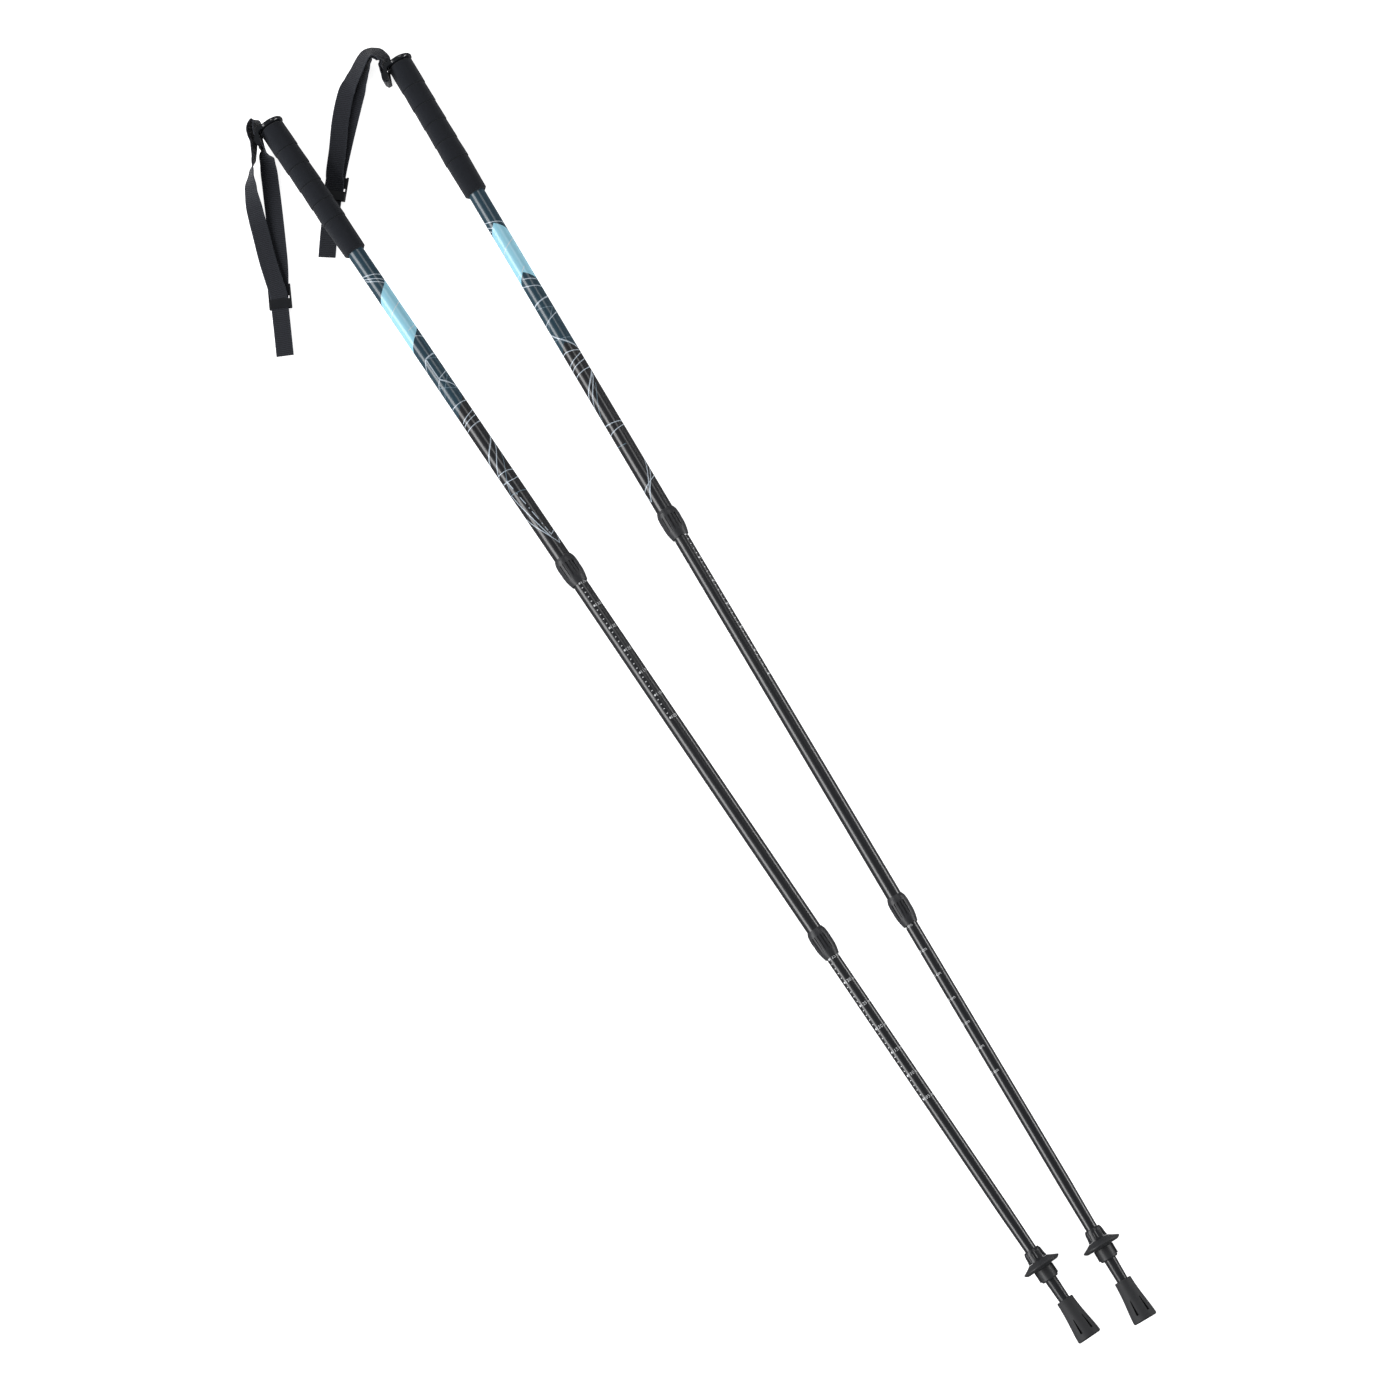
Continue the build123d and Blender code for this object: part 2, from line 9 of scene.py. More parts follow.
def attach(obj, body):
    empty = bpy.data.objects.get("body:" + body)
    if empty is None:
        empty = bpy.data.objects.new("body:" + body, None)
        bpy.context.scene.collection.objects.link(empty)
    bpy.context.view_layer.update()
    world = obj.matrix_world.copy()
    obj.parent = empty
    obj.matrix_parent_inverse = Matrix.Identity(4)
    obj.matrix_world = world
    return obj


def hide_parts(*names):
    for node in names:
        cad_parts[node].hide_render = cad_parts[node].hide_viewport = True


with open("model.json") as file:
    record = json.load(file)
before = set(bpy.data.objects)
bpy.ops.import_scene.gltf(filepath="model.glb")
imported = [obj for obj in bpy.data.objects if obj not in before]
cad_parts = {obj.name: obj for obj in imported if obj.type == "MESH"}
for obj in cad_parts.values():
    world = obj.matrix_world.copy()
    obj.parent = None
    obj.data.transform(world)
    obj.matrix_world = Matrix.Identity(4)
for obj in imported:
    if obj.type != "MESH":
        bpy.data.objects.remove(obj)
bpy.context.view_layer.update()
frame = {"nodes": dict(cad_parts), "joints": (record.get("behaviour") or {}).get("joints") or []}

MM = 0.001
UPPER_R, MIDDLE_R, LOWER_R = 8.0, 7.0, 6.0
DECAL_LIFT = 0.035           # print stands this far off its tube
SIDES = ("left", "right")
# turn of the print round each pole, from the top of the tube towards +X
PRINT_TURN = {"left": 97, "right": -4}
# where the print's colours change at its apex, and how far an edge drops for each degree from it
BAND_TOP, BAND_LOW, TEAL_LOW = 1161, 1106, 1028
EDGE_SLANT = 0.129
FACE_UP = Vector((0, 0, 1))
TWIST_STATION = 816          # where the middle section's twist axis is given, in mm from the foot


# ---- the poles' axes ----------------------------------------------------------------------------
class Pole:
    """One pole's axis: a station is in mm from the bottom of its foot, an angle in degrees from the top."""

    def __init__(self, side):
        joint = next(j for j in frame["joints"] if j["name"] == side + "_middle_twist")
        self.side = side
        self.run = Vector(joint["axis"]).normalized()
        self.foot = Vector(joint["pos_m"]) - self.run * (TWIST_STATION * MM)
        self.right = self.run.cross(FACE_UP).normalized()
        self.up = self.right.cross(self.run)

    def point(self, station, angle, radius):
        turn = radians(angle)
        out = self.right * sin(turn) + self.up * cos(turn)
        return self.foot + self.run * (station * MM) + out * (radius * MM)


POLES = {side: Pole(side) for side in SIDES}


# ---- camera -------------------------------------------------------------------------------------
def add_camera():
    data = bpy.data.cameras.new("camera")
    data.lens = 100.29
    data.sensor_width = 36
    data.clip_end = 50
    camera = bpy.data.objects.new("camera", data)
    bpy.context.scene.collection.objects.link(camera)
    turn = Matrix(((0.84557, 0.53377, -0.01006), (-0.52727, 0.83202, -0.1724),
                   (-0.08365, 0.15109, 0.98497)))
    camera.matrix_world = Matrix.Translation((-0.00163, -0.61951, 3.5)) @ turn.to_4x4()
    bpy.context.scene.camera = camera


# ---- floor and light ----------------------------------------------------------------------------
def add_light(name, place, aim, size, length, power):
    data = bpy.data.lights.new(name, "AREA")
    data.shape = "RECTANGLE"
    data.size = size
    data.size_y = length
    data.energy = power
    lamp = bpy.data.objects.new(name, data)
    bpy.context.scene.collection.objects.link(lamp)
    place, aim = Vector(place), Vector(aim)
    back = (place - aim).normalized()
    along = Vector((0, 1, 0))
    across = along.cross(back).normalized()
    along = back.cross(across)
    lamp.matrix_world = Matrix.Translation(place) @ Matrix((across, along, back)).transposed().to_4x4()
    lamp.visible_camera = False


def add_stage():
    scene = bpy.context.scene
    scene.view_settings.view_transform = "Standard"
    world = bpy.data.worlds.new("world")
    scene.world = world
    world.use_nodes = True
    background = world.node_tree.nodes["Background"]
    background.inputs["Color"].default_value = (1, 1, 1, 1)
    background.inputs["Strength"].default_value = 0.14
    add_light("long_light_left", (-1.9, 0.5, 1.30), (0, 0.2, 0), 1.25, 4.2, 80)
    add_light("high_light_right", (1.25, 1.5, 1.9), (0, 0.6, 0), 0.7, 1.9, 9)
    add_light("low_light_right", (2.0, -0.5, 0.42), (0, -0.3, 0), 0.5, 1.9, 18)
    mesh = bpy.data.meshes.new("floor")
    size = 6
    corners = [(-size, -size, 0), (size, -size, 0), (size, size, 0), (-size, size, 0)]
    mesh.from_pydata(corners, [], [(0, 1, 2, 3)])
    floor = bpy.data.objects.new("floor", mesh)
    scene.collection.objects.link(floor)
    floor.location.z = -0.0002
    paper = Paint("floor_paper", (0.9, 0.9, 0.9), roughness=0.9)
    paper.shader.inputs["Emission Color"].default_value = (1, 1, 1, 1)
    paper.shader.inputs["Emission Strength"].default_value = 0.86
    mesh.materials.append(paper.material)
    floor.visible_glossy = False


# ---- materials ----------------------------------------------------------------------------------
class Paint:
    """A Principled material, with short calls for the nodes that drive it."""

    def __init__(self, name, colour, roughness=0.5, metallic=0.0, coat=0.0, coat_roughness=0.05,
                 specular=0.5):
        self.material = bpy.data.materials.new(name)
        self.material.use_nodes = True
        self.tree = self.material.node_tree
        self.shader = self.tree.nodes["Principled BSDF"]
        self.set("Base Color", (*colour, 1))
        self.set("Roughness", roughness)
        self.set("Metallic", metallic)
        self.set("Coat Weight", coat)
        self.set("Coat Roughness", coat_roughness)
        self.set("Specular IOR Level", specular)
        self.place = self.add("ShaderNodeTexCoord").outputs["Object"]

    def set(self, socket, value):
        self.shader.inputs[socket].default_value = value

    def add(self, kind, **settings):
        node = self.tree.nodes.new(kind)
        for name, value in settings.items():
            setattr(node, name, value)
        return node

    def feed(self, socket, value):
        if hasattr(value, "links"):
            self.tree.links.new(value, socket)
        else:
            socket.default_value = value

    def math(self, operation, a, b=0.0, clamp=False):
        node = self.add("ShaderNodeMath", operation=operation, use_clamp=clamp)
        self.feed(node.inputs[0], a)
        self.feed(node.inputs[1], b)
        return node.outputs[0]

    def dot(self, a, b):
        node = self.add("ShaderNodeVectorMath", operation="DOT_PRODUCT")
        self.feed(node.inputs[0], a)
        self.feed(node.inputs[1], b)
        return node.outputs["Value"]

    def noise(self, scale, detail=2.0, rough=0.5, vector=None):
        node = self.add("ShaderNodeTexNoise")
        self.feed(node.inputs["Vector"], vector or self.place)
        node.inputs["Scale"].default_value = scale
        node.inputs["Detail"].default_value = detail
        node.inputs["Roughness"].default_value = rough
        return node.outputs["Fac"]

    def cells(self, scale):
        node = self.add("ShaderNodeTexVoronoi")
        self.feed(node.inputs["Vector"], self.place)
        node.inputs["Scale"].default_value = scale
        return node.outputs["Distance"]

    def spread(self, fac, low, high):
        """Maps 0..1 to low..high."""
        node = self.add("ShaderNodeMapRange")
        self.feed(node.inputs["Value"], fac)
        node.inputs["To Min"].default_value = low
        node.inputs["To Max"].default_value = high
        return node.outputs["Result"]

    def mix(self, fac, a, b):
        node = self.add("ShaderNodeMix", data_type="RGBA")
        self.feed(node.inputs["Factor"], fac)
        self.feed(node.inputs[6], a if hasattr(a, "links") else (*a, 1))
        self.feed(node.inputs[7], b if hasattr(b, "links") else (*b, 1))
        return node.outputs[2]

    def shade(self, colour, fac, depth):
        """Darkens and lightens a colour by up to depth, as fac goes from 0 to 1."""
        low = tuple(c * (1 - depth) for c in colour)
        high = tuple(min(c * (1 + depth), 1) for c in colour)
        self.feed(self.shader.inputs["Base Color"], self.mix(fac, low, high))

    def bump(self, height, distance, strength=1.0):
        node = self.add("ShaderNodeBump")
        node.inputs["Strength"].default_value = strength
        node.inputs["Distance"].default_value = distance
        self.feed(node.inputs["Height"], height)
        self.feed(self.shader.inputs["Normal"], node.outputs["Normal"])

    def rough(self, fac, low, high):
        self.feed(self.shader.inputs["Roughness"], self.spread(fac, low, high))


def moulded(name, colour, low, high, grain=2600, depth=0.00003, coat=0.0):
    """Moulded plastic: a fine grain, and gloss that wanders a little."""
    paint = Paint(name, colour, coat=coat, coat_roughness=0.12)
    broad = paint.noise(90, 3)
    paint.shade(colour, broad, 0.12)
    paint.rough(broad, low, high)
    paint.bump(paint.noise(grain, 2), depth, 0.5)
    return paint.material


def foam_material():
    colour = (0.0102, 0.0122, 0.0172)
    paint = Paint("foam_eva", colour, roughness=0.9, specular=0.2)
    paint.set("Sheen Weight", 0.08)
    paint.set("Sheen Roughness", 0.6)
    speck = paint.noise(1700, 3, 0.75)
    broad = paint.noise(120, 3, 0.6)
    mottle = paint.math("ADD", paint.math("MULTIPLY", speck, 0.75), paint.math("MULTIPLY", broad, 0.25))
    paint.shade(colour, mottle, 0.7)
    paint.rough(speck, 0.82, 0.96)
    cells = paint.math("ADD", paint.math("MULTIPLY", paint.cells(2600), 0.6), speck)
    paint.bump(cells, 0.00010, 0.6)
    return paint.material


def webbing_material():
    colour = (0.030, 0.031, 0.036)
    paint = Paint("webbing_ribbed", colour, roughness=0.8, specular=0.3)
    paint.set("Sheen Weight", 0.25)
    paint.set("Sheen Roughness", 0.45)
    flat = paint.tree.nodes["Texture Coordinate"].outputs["UV"]
    apart = paint.add("ShaderNodeSeparateXYZ")
    paint.feed(apart.inputs[0], flat)
    along, across = apart.outputs["X"], apart.outputs["Y"]
    yarn = paint.math("SINE", paint.math("MULTIPLY", across, 2 * pi / (0.62 * MM)))
    twist = paint.math("SINE", paint.math("MULTIPLY", along, 2 * pi / (0.30 * MM)))
    weave = paint.math("MULTIPLY", yarn, paint.math("ADD", paint.math("MULTIPLY", twist, 0.35), 0.65))
    fuzz = paint.noise(1100, 4, 0.7)
    # rib is 1 on the top of each rib and 0 at the bottom of the groove beside it
    rib = paint.add("ShaderNodeAttribute", attribute_name="rib").outputs["Fac"]
    tone = paint.math("ADD", paint.math("MULTIPLY", weave, 0.16), paint.math("MULTIPLY", fuzz, 0.35))
    # adding the rib height lightens the ridges and darkens the grooves: painted shade in the grooves
    tone = paint.math("ADD", tone, paint.math("MULTIPLY", rib, 0.6), clamp=True)
    # the dark end is the darker yarn and also the painted shade in the grooves; the light end is the webbing
    # on its ridges
    dark_yarn_and_groove_shade, ridge = (0.0022, 0.0026, 0.0040), (0.035, 0.039, 0.052)
    paint.feed(paint.shader.inputs["Base Color"], paint.mix(tone, dark_yarn_and_groove_shade, ridge))
    paint.rough(fuzz, 0.7, 0.92)
    paint.bump(paint.math("ADD", paint.math("MULTIPLY", weave, 0.5), fuzz), 0.00012, 0.8)
    return paint.material


def lacquer(paint):
    """Gloss lacquer over paint, whose clear coat the caller sets: gloss that wanders a little and a trace of
    orange peel.
    """
    wander = paint.noise(60, 2)
    paint.rough(wander, 0.30, 0.40)
    paint.bump(paint.noise(420, 2), 0.000012, 0.25)


def tube_black(name, colour):
    paint = Paint(name, colour, coat=0.9, coat_roughness=0.17)
    paint.shade(colour, paint.noise(45, 3), 0.15)
    lacquer(paint)
    return paint.material


def tube_print(pole):
    """Teal, a pale blue band and black, each edge pointed towards the handle at the band's apex."""
    teal, blue, black = (0.0125, 0.044, 0.068), (0.34, 0.70, 0.86), (0.0085, 0.0095, 0.0125)
    paint = Paint(f"{pole.side}_tube_print", teal, coat=0.9, coat_roughness=0.17)
    station = paint.math("MULTIPLY", paint.dot(from_foot(paint, pole), pole.run), 1000)
    east = paint.dot(from_foot(paint, pole), pole.right)
    top = paint.dot(from_foot(paint, pole), pole.up)
    angle = paint.math("MULTIPLY", paint.math("ARCTAN2", east, top), 180 / pi)
    turned = paint.math("SUBTRACT", angle, PRINT_TURN[pole.side])
    wrapped = paint.add("ShaderNodeMath", operation="WRAP")
    paint.feed(wrapped.inputs[0], turned)
    wrapped.inputs[1].default_value = 180
    wrapped.inputs[2].default_value = -180
    away = paint.math("ABSOLUTE", wrapped.outputs[0])
    slant = paint.math("ADD", station, paint.math("MULTIPLY", away, EDGE_SLANT))
    below, above = paint.math("LESS_THAN", slant, BAND_TOP), paint.math("GREATER_THAN", slant, BAND_LOW)
    in_band = paint.math("MULTIPLY", below, above)
    flake = paint.noise(900, 3)
    body = paint.mix(paint.spread(flake, 0, 0.25), teal, tuple(c * 1.7 for c in teal))
    banded = paint.mix(in_band, body, blue)
    whole = paint.mix(paint.math("LESS_THAN", slant, TEAL_LOW), banded, black)
    paint.feed(paint.shader.inputs["Base Color"], whole)
    lacquer(paint)
    return paint.material


def from_foot(paint, pole):
    node = paint.add("ShaderNodeVectorMath", operation="SUBTRACT")
    paint.feed(node.inputs[0], paint.place)
    node.inputs[1].default_value = pole.foot
    return node.outputs["Vector"]


def ink(name, colour):
    paint = Paint(name, colour, roughness=0.35, coat=0.8, coat_roughness=0.1)
    paint.shade(colour, paint.noise(1600, 3), 0.12)
    return paint.material


def steel_material():
    paint = Paint("steel_bright", (0.62, 0.62, 0.63), metallic=1.0)
    brushed = paint.noise(700, 4)
    paint.rough(brushed, 0.18, 0.34)
    paint.bump(brushed, 0.00001, 0.3)
    return paint.material


def dress_nodes():
    """Gives every CAD node its material."""
    dark = moulded("plastic_gloss_black", (0.0085, 0.010, 0.013), 0.16, 0.26, coat=0.8)
    keeper = moulded("plastic_slider", (0.0055, 0.0068, 0.0095), 0.34, 0.48)
    collar = moulded("plastic_collar", (0.030, 0.031, 0.035), 0.34, 0.48, grain=1800, depth=0.00005)
    basket = moulded("plastic_basket", (0.030, 0.031, 0.034), 0.38, 0.5, grain=1500, depth=0.00005)
    tip = moulded("plastic_tip", (0.020, 0.021, 0.024), 0.24, 0.34)
    rubber = moulded("rubber_foot", (0.028, 0.029, 0.032), 0.6, 0.75, grain=1200, depth=0.0001)
    nylon = moulded("nylon_natural", (0.72, 0.72, 0.68), 0.4, 0.5)
    steel = steel_material()
    looks = {
        "grip_cap": dark, "foam_grip": foam_material(), "strap_slider": keeper,
        "upper_lock_collar": collar, "lower_lock_collar": collar,
        "middle_tube": tube_black("lacquer_black", (0.010, 0.011, 0.014)),
        "lower_tube": tube_black("lacquer_lower", (0.010, 0.011, 0.014)),
        "tip_body": tip, "tip_point": steel, "basket": basket, "rubber_foot": rubber,
    }
    for section in ("middle", "lower"):
        for part in ("plug", "lock_jaw", "lock_wedge"):
            looks[f"{section}_{part}"] = nylon
        for part in ("stud", "stop_washer"):
            looks[f"{section}_{part}"] = steel
    for side in SIDES:
        looks["upper_tube"] = tube_print(POLES[side])
        for part, look in looks.items():
            give(frame["nodes"][f"{side}_{part}"], look)


def give(piece, look):
    piece.data.materials.clear()
    piece.data.materials.append(look)


# ---- new pieces ---------------------------------------------------------------------------------
def add_piece(name, body, verts, faces, looks, marks=None, smooth=True):
    """A mesh that rides on a body. marks gives each face's material, as its place in looks."""
    mesh = bpy.data.meshes.new(name)
    mesh.from_pydata(verts, [], faces)
    for look in looks:
        mesh.materials.append(look)
    if marks:
        mesh.polygons.foreach_set("material_index", marks)
    mesh.polygons.foreach_set("use_smooth", [smooth] * len(mesh.polygons))
    mesh.update()
    piece = bpy.data.objects.new(name, mesh)
    bpy.context.scene.collection.objects.link(piece)
    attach(piece, body)
    return piece


# ---- print on the upper tubes -------------------------------------------------------------------
# Lines of the print, flat: (angle, station) at each end. 0 degrees is the band's apex.
FINE, BOLD, FAINT = 0.8, 1.25, 0.6
PRINT_LINES = [
    (FINE, (90, 1157.5), (-170, 1171.5)), (FINE, (-20, 1157), (-175, 1169.3)),
    (FINE, (-43, 1154.5), (-170, 1166.7)), (FINE, (77, 1094), (-24, 1100)),
    (FINE, (77, 1086.3), (-89, 1095.7)), (BOLD, (77, 1075.5), (-111, 1071.2)),
    (FINE, (-111, 1071.1), (-111, 1048.2)), (FINE, (-114, 1070.6), (-181, 1058.6)),
    (FINE, (77, 1058.5), (-111, 1048.3)), (FINE, (-111, 1047.8), (-174, 1038.7)),
    (BOLD, (81, 1018), (-111, 1047.8)), (FAINT, (65, 1064), (-104, 1070.6)),
    (FAINT, (57, 1063.8), (-168, 1029.3)), (FAINT, (77, 1030), (-66, 1034.5)),
    (FAINT, (-66, 1034.5), (-168, 1043)), (FINE, (70, 1016), (-30, 1019)),
    (FINE, (-30, 1019), (-172, 1017.8)), (FINE, (74, 1013.3), (-153, 1001)),
    (FINE, (81, 1006.6), (-161, 997.5)), (FINE, (81, 997.4), (-172, 992)),
    (BOLD, (74, 993.4), (-181, 952.5)), (FINE, (64, 989.8), (-166, 938.7)),
    (FAINT, (43, 980.5), (-156, 920.6)), (FINE, (81, 937.5), (-77, 940.8)),
    (FINE, (-77, 940.8), (-161, 941.2)), (FINE, (81, 934), (-68, 930.5)),
    (FINE, (-68, 930.5), (-164, 931.8)), (FAINT, (9, 915.8), (-160, 919.3)),
    (FINE, (-53, 857), (-30, 863)), (FINE, (-53, 857), (-174, 895)), (FINE, (-80, 865), (-161, 920)),
    (FINE, (-30, 863), (81, 897)), (FINE, (-30, 863), (74, 886)), (FINE, (-68, 868), (74, 878)),
]
WHITE_LINES = [
    (FAINT, (74, 1141), (-168, 1122)), (FAINT, (-32, 1105.7), (-100, 1103)),
    (FAINT, (30, 1110.7), (-7, 1106.2)),
]
# the dashed line: it starts at (angle, station) and ends at the V's apex
DASHED = ((-121, 932.5), (-70, 867.5))
DASHES = [(932.5, 922.5), (917.6, 916.4), (913, 904.5), (900.1, 898.9), (895.5, 886), (881.6, 880.4),
          (877, 872.5), (871, 867.5)]


def wrap_line(pole, radius, start, end, width, verts, faces):
    """Adds a strip of ink that follows a straight line of the flat print round the tube."""
    turn = PRINT_TURN[pole.side]
    (a0, s0), (a1, s1) = start, end
    arc = radians(1) * radius
    dx, dy = (a1 - a0) * arc, s1 - s0
    reach = (dx * dx + dy * dy) ** 0.5
    nx, ny = -dy / reach * width / 2, dx / reach * width / 2
    steps = max(1, ceil(abs(a1 - a0) / 5))
    first = len(verts)
    for i in range(steps + 1):
        t = i / steps
        angle, station = a0 + (a1 - a0) * t, s0 + (s1 - s0) * t
        for side in (1, -1):
            verts.append(pole.point(station + side * ny, angle + side * nx / arc + turn, radius + DECAL_LIFT))
    for i in range(steps):
        a = first + 2 * i
        faces.append((a, a + 1, a + 3, a + 2))


def add_print(pole, pale, faint, white):
    verts, faces, marks = [], [], []
    for lines, look in ((PRINT_LINES, 0), (WHITE_LINES, 2)):
        for width, start, end in lines:
            wrap_line(pole, UPPER_R, start, end, width, verts, faces)
            marks += [1 if width == FAINT and look == 0 else look] * (len(faces) - len(marks))
    (a0, s0), (a1, s1) = DASHED
    for high, low in DASHES:
        ends = [(a0 + (a1 - a0) * (s - s0) / (s1 - s0), s) for s in (high, low)]
        wrap_line(pole, UPPER_R, *ends, FINE, verts, faces)
    marks += [0] * (len(faces) - len(marks))
    looks = [pale, faint, white]
    add_piece(f"{pole.side}_tube_lines", f"{pole.side}_handle", verts, faces, looks, marks)


# ---- scales -------------------------------------------------------------------------------------
LABELS = (135, 130, 125, 120, 115, 110, 105)
LABEL_PITCH = 25
# for each tube: the body that it belongs to, its radius, its first mark's station, and its rows'
# angles: that of the dots, and that of each row of labels
SCALES = {
    ("left", "middle"): (MIDDLE_R, 815, -3, (-3, 134)),
    ("left", "lower"): (LOWER_R, 403, -44, (-44,)),
    ("right", "middle"): (MIDDLE_R, 815, 43, (43, 180)),
    ("right", "lower"): (LOWER_R, 403, -125, (-125,)),
}


def wrap(pole, radius, angle, station, x, y):
    """A point of a flat mark, x mm round the tube towards +X and y mm up it."""
    return pole.point(station + y, angle + degrees(x / radius), radius + DECAL_LIFT)


def add_dot(pole, radius, angle, station, wide, tall, verts, faces):
    corners = 14
    first = len(verts)
    for i in range(corners):
        turn = 2 * pi * i / corners
        verts.append(wrap(pole, radius, angle, station, cos(turn) * wide / 2, sin(turn) * tall / 2))
    faces.append(tuple(range(first, first + corners)))


def flat_text(text, height):
    """A word as a flat mesh in mm, its lower left corner at the origin, cut into narrow upright bands."""
    curve = bpy.data.curves.new("word", "FONT")
    curve.body = text
    curve.size = height / 0.70
    curve.space_character = 1.04
    curve.resolution_u = 3
    holder = bpy.data.objects.new("word", curve)
    mesh = bpy.data.meshes.new_from_object(holder)
    work = bmesh.new()
    work.from_mesh(mesh)
    left = min(v.co.x for v in work.verts)
    width = max(v.co.x for v in work.verts) - left
    for v in work.verts:
        v.co.x -= left
    cut = 0.5
    while cut < width:
        parts = work.verts[:] + work.edges[:] + work.faces[:]
        bmesh.ops.bisect_plane(work, geom=parts, plane_co=(cut, 0, 0), plane_no=(1, 0, 0))
        cut += 0.5
    points = [(v.co.x, v.co.y) for v in work.verts]
    faces = [[v.index for v in f.verts] for f in work.faces]
    work.free()
    bpy.data.objects.remove(holder)
    bpy.data.curves.remove(curve)
    bpy.data.meshes.remove(mesh)
    return points, faces


def add_scales(white):
    words = {value: flat_text(f"{value} cm", 3.0) for value in LABELS}
    for (side, section), (radius, start, dots, rows) in SCALES.items():
        pole = POLES[side]
        verts, faces = [], []
        last = start - LABEL_PITCH * (len(LABELS) - 1)
        for i in range((start - last) // 5 + 1):
            station = start - 5 * i
            big = i % 5 == 0
            add_dot(pole, radius, dots, station, 2.0 if big else 1.5, 2.0 if big else 0.9, verts, faces)
        for row in rows:
            for i, value in enumerate(LABELS):
                points, shapes = words[value]
                first = len(verts)
                for x, y in points:
                    verts.append(wrap(pole, radius, row, start - LABEL_PITCH * i, x + 1.6, y - 1.5))
                faces += [tuple(first + k for k in shape) for shape in shapes]
        add_piece(f"{side}_{section}_scale", f"{side}_{section}", verts, faces, [white])


# ---- wrist straps -------------------------------------------------------------------------------
WEB_HALF, WEB_THICK = 8.25, 1.4
RIB_PITCH, RIB_DEPTH = 1.8, 0.34
STRAP_STEP = 0.3
SHIFT = Vector((48.57, -6.51, 0))
# each station is the webbing's centre in mm and the direction of its width
STRAPS = {
    "left": [
        ((-146.6, 531.9, 1.6), (0.9, -0.43, 0)), ((-131.2, 557.6, 1.6), (0.9, -0.43, 0)),
        ((-117.9, 584.9, 1.6), (0.91, -0.41, 0)), ((-104.0, 615.0, 1.8), (0.93, -0.36, 0)),
        ((-93.0, 639.0, 3.4), (0.94, -0.3, 0.1)), ((-86.5, 652.4, 8.8), (0.82, -0.38, 0.42)),
        ((-82.6, 660.4, 16.4), (0.06, 0, 1)), ((-82.2, 666.8, 17.8), (0, 0, 1)),
        ((-82.0, 675.5, 17.8), (-0.16, 0, 0.99)), ((-78.6, 681.8, 17.4), (-0.3, 0, 0.95)),
        ((-76.0, 685.2, 17.2), (-0.34, 0, 0.94)), ((-76.4, 689.0, 17.2), (-0.38, 0, 0.92)),
        ((-80.4, 687.4, 16.8), (-0.4, 0, 0.92)), ((-84.1, 683.2, 16.5), (-0.42, 0, 0.91)),
        ((-86.2, 677.0, 16.2), (-0.42, 0, 0.91)), ((-89.7, 668.6, 16.5), (-0.2, 0, 0.98)),
        ((-96.0, 659.2, 13.4), (-0.02, 0, 1)), ((-105.2, 649.6, 11.0), (0.34, -0.28, 0.9)),
        ((-113.9, 636.8, 8.8), (0.7, -0.38, 0.6)), ((-121.7, 616.8, 6.2), (0.9, -0.3, 0.2)),
        ((-128.4, 594.8, 5.0), (0.93, -0.3, 0)), ((-135.6, 571.5, 5.0), (0.92, -0.36, 0)),
        ((-141.0, 550.2, 4.9), (0.91, -0.41, 0)), ((-144.2, 537.1, 4.2), (0.9, -0.43, 0)),
        ((-151.0, 522.5, 3.6), (0.9, -0.43, 0)), ((-158.7, 506.6, 1.8), (0.9, -0.43, 0)),
        ((-169.4, 484.1, 1.2), (0.91, -0.41, 0)),
    ],
    "right": [
        ((-49.0, 593.2, 1.6), (0.76, -0.65, 0)), ((-35.0, 609.5, 1.6), (0.75, -0.66, 0)),
        ((-19.0, 626.5, 1.6), (0.72, -0.69, 0)), ((0.6, 646.5, 1.8), (0.71, -0.7, 0)),
        ((17.0, 662.4, 2.8), (0.71, -0.7, 0.05)), ((27.6, 671.6, 5.6), (0.62, -0.66, 0.42)),
        ((35.4, 678.0, 8.4), (0.45, -0.74, 0.5)), ((43.2, 683.4, 11.2), (0.2, -0.78, 0.6)),
        ((49.6, 684.4, 12.4), (-0.06, -0.72, 0.7)), ((53.8, 680.2, 12.4), (-0.4, -0.62, 0.68)),
        ((54.8, 674.2, 11.9), (-0.6, -0.42, 0.68)), ((50.8, 668.8, 12.6), (-0.3, -0.18, 0.94)),
        ((48.7, 664.6, 13.2), (-0.05, 0, 1)), ((47.2, 660.0, 13.3), (0, 0, 1)),
        ((45.6, 655.6, 13.3), (0, 0, 1)), ((45.9, 652.2, 13.3), (0, 0, 1)),
        ((48.0, 650.6, 13.4), (0, 0, 1)), ((50.3, 652.3, 13.5), (0, 0, 1)),
        ((50.7, 656.0, 13.5), (0, 0, 1)), ((51.0, 660.4, 13.6), (0, 0, 1)),
        ((51.7, 664.0, 13.6), (-0.05, 0, 1)), ((53.0, 667.6, 13.6), (-0.3, -0.18, 0.94)),
        ((57.0, 673.4, 13.6), (-0.62, -0.43, 0.66)), ((55.7, 681.2, 14.2), (-0.42, -0.62, 0.66)),
        ((50.5, 686.2, 14.6), (-0.06, -0.72, 0.7)), ((44.0, 686.8, 14.0), (0.2, -0.77, 0.61)),
        ((37.6, 684.2, 12.6), (0.34, -0.76, 0.56)), ((30.4, 680.0, 11.0), (0.46, -0.72, 0.52)),
        ((19.8, 674.2, 8.8), (0.6, -0.68, 0.42)), ((10.0, 668.0, 6.4), (0.7, -0.71, 0.1)),
        ((-8.1, 648.9, 5.0), (0.74, -0.67, 0)), ((-25.5, 625.6, 5.0), (0.78, -0.62, 0)),
        ((-40.0, 607.1, 4.9), (0.77, -0.63, 0)), ((-45.3, 597.5, 4.2), (0.76, -0.65, 0)),
        ((-55.6, 585.3, 3.6), (0.76, -0.65, 0)), ((-71.7, 565.2, 1.8), (0.76, -0.65, 0)),
        ((-87.6, 543.4, 1.2), (0.76, -0.65, 0)),
    ],
}


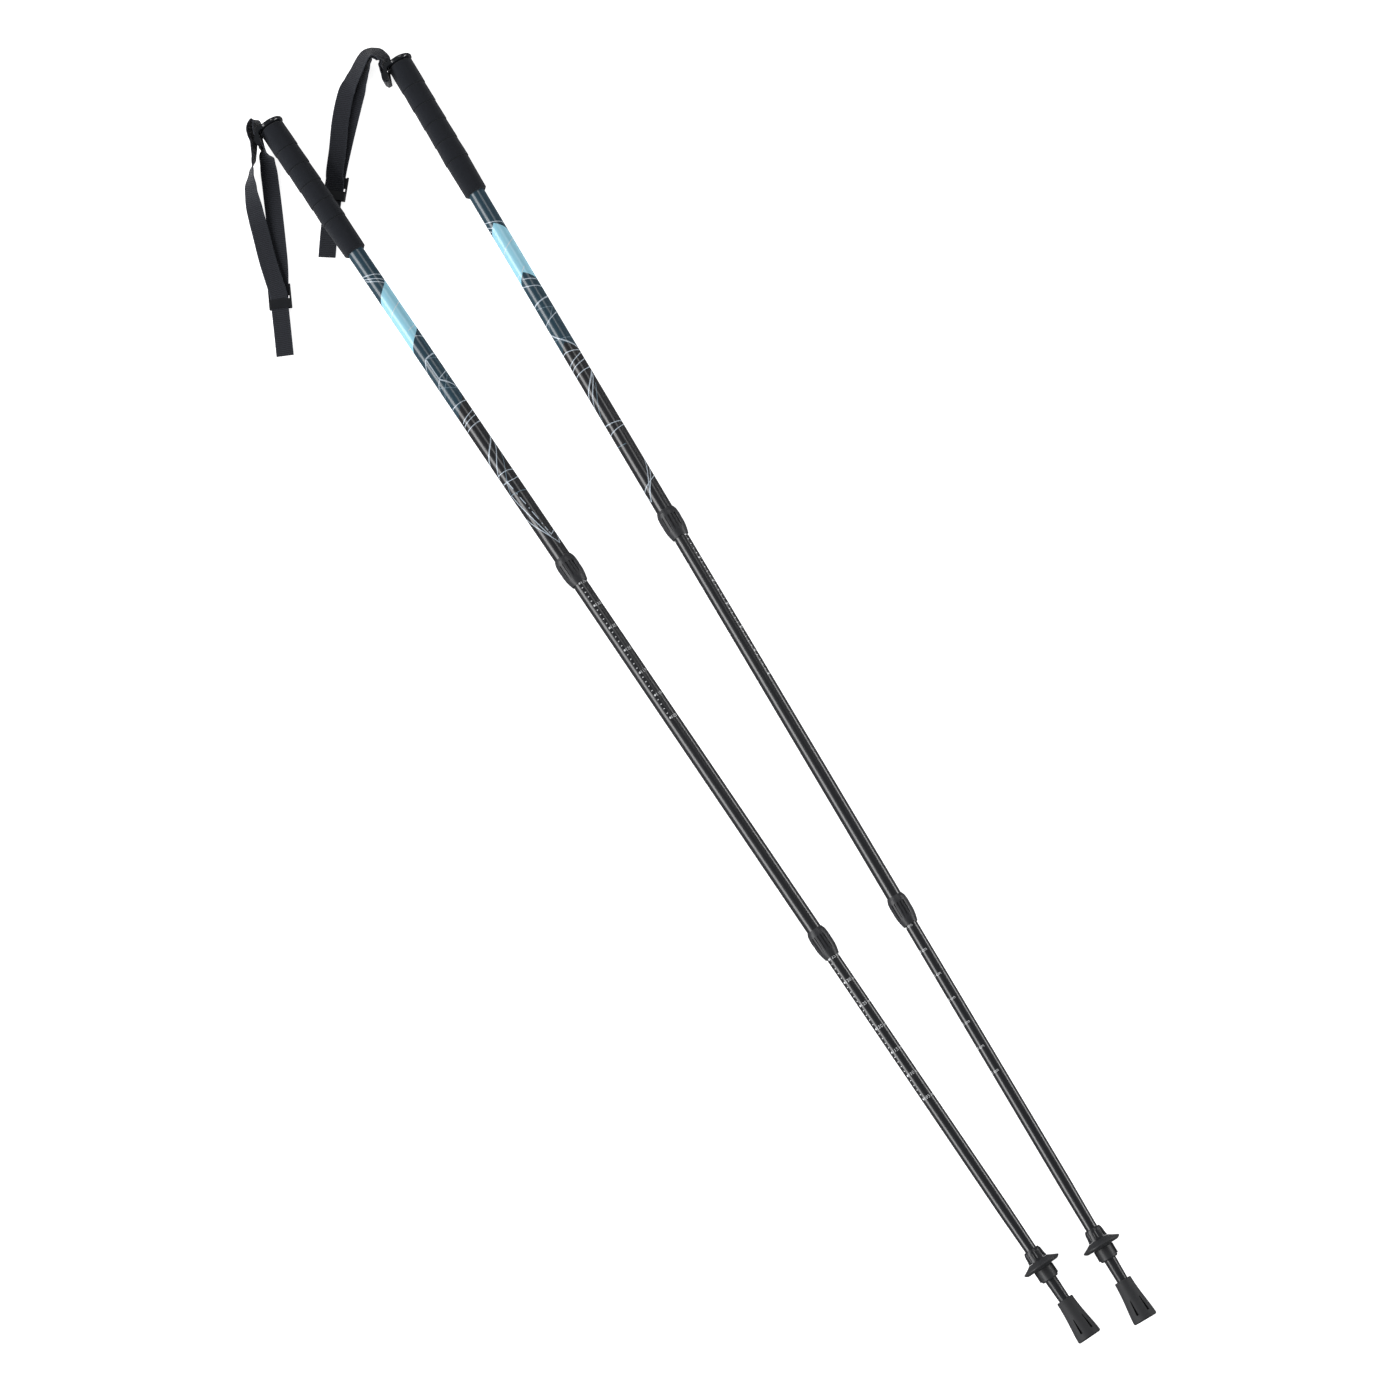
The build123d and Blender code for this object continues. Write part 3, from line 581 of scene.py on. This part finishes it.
def smooth_path(stations):
    """A smooth line through the stations, as (distance, centre, run, across, out) every step, in mm."""
    centres = [Vector(c) + SHIFT for c, w in stations]
    widths = [Vector(w).normalized() for c, w in stations]
    centres = [centres[0] * 2 - centres[1]] + centres + [centres[-1] * 2 - centres[-2]]
    widths = [widths[0]] + widths + [widths[-1]]
    fine = []
    for i in range(1, len(centres) - 2):
        p = centres[i - 1:i + 3]
        gaps = [max((p[k + 1] - p[k]).length, 1e-6) for k in range(3)]
        t = [0.0]
        for gap in gaps:
            t.append(t[-1] + gap ** 0.5)
        count = max(4, ceil(gaps[1] / 0.25))
        for k in range(count):
            f = k / count
            at = t[1] + (t[2] - t[1]) * f
            a1 = p[0].lerp(p[1], (at - t[0]) / (t[1] - t[0]))
            a2 = p[1].lerp(p[2], (at - t[1]) / (t[2] - t[1]))
            a3 = p[2].lerp(p[3], (at - t[2]) / (t[3] - t[2]))
            b1 = a1.lerp(a2, (at - t[0]) / (t[2] - t[0]))
            b2 = a2.lerp(a3, (at - t[1]) / (t[3] - t[1]))
            ease = f * f * (3 - 2 * f)
            fine.append((b1.lerp(b2, (at - t[1]) / (t[2] - t[1])), widths[i].lerp(widths[i + 1], ease)))
    fine.append((centres[-2], widths[-1]))
    ends = [0.0]
    for (a, w), (b, v) in zip(fine, fine[1:]):
        ends.append(ends[-1] + (b - a).length)
    count = ceil(ends[-1] / STRAP_STEP)
    path, k = [], 0
    for n in range(count + 1):
        want = ends[-1] * n / count
        while k < len(ends) - 2 and ends[k + 1] < want:
            k += 1
        f = (want - ends[k]) / (ends[k + 1] - ends[k])
        path.append((want, fine[k][0].lerp(fine[k + 1][0], f), fine[k][1].lerp(fine[k + 1][1], f)))
    framed = []
    for n, (gone, centre, width) in enumerate(path):
        run = (path[min(n + 1, count)][1] - path[max(n - 1, 0)][1]).normalized()
        across = (width - run * width.dot(run)).normalized()
        framed.append((gone, centre, run, across, run.cross(across)))
    return framed


def add_strap(side, look):
    path = smooth_path(STRAPS[side])
    half = WEB_THICK / 2
    # the section, from one edge over the top and back underneath
    across = [-8, -7.5, -6.8, -5.4, -3.6, -1.8, 0, 1.8, 3.6, 5.4, 6.8, 7.5, 8]
    section = [(-WEB_HALF, 0)] + [(x, 1) for x in across]
    section += [(WEB_HALF, 0)] + [(x, -1) for x in reversed(across)]
    ring = len(section)
    verts, faces, flat, painted_groove_shade = [], [], [], []
    for gone, centre, run, wide, out in path:
        for x, face in section:
            edge = max(0.0, (abs(x) - 6.7) / 1.6)
            lean = 0.10 * sin(x * 0.55 + gone * 0.045) + 0.05 * sin(x * 1.9 + gone * 0.21)
            wave = cos(2 * pi * (gone / RIB_PITCH + lean + x * 0.012))
            rib = RIB_DEPTH * (0.5 - 0.5 * wave) * (1 - min(edge * 1.6, 1))
            if face < 0:
                rib = RIB_DEPTH * (0.5 + 0.5 * wave) * (1 - min(edge * 1.6, 1))
            tall = (half - rib) * (1 - edge ** 3 * 0.55) * face
            verts.append((centre + wide * x + out * tall) * MM)
            flat.append((gone * MM, x * MM))
            # each point's height on its rib, which the webbing material turns into painted shade in the
            # grooves
            painted_groove_shade.append(1 - rib / RIB_DEPTH)
    for n in range(len(path) - 1):
        a = n * ring
        for k in range(ring):
            j = (k + 1) % ring
            faces.append((a + k, a + j, a + ring + j, a + ring + k))
    last = (len(path) - 1) * ring
    faces.append(tuple(reversed(range(ring))))
    faces.append(tuple(range(last, last + ring)))
    strap = add_piece(f"{side}_wrist_webbing", f"{side}_handle", verts, faces, [look])
    layer = strap.data.uv_layers.new(name="UVMap")
    for loop in strap.data.loops:
        layer.data[loop.index].uv = flat[loop.vertex_index]
    # stored as the rib attribute, which drives the painted shade in the grooves
    strap.data.attributes.new("rib", "FLOAT", "POINT").data.foreach_set("value", painted_groove_shade)
    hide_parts(f"{side}_wrist_strap")
    print(side, "strap length", round(path[-1][0], 1))


# ---- everything ---------------------------------------------------------------------------------
add_camera()
add_stage()
dress_nodes()
pale_ink = ink("ink_pale", (0.50, 0.58, 0.66))
faint_ink = ink("ink_faint", (0.16, 0.24, 0.30))
white_ink = ink("ink_white", (0.78, 0.80, 0.82))
web = webbing_material()
for side in SIDES:
    add_print(POLES[side], pale_ink, faint_ink, white_ink)
    add_strap(side, web)
add_scales(white_ink)
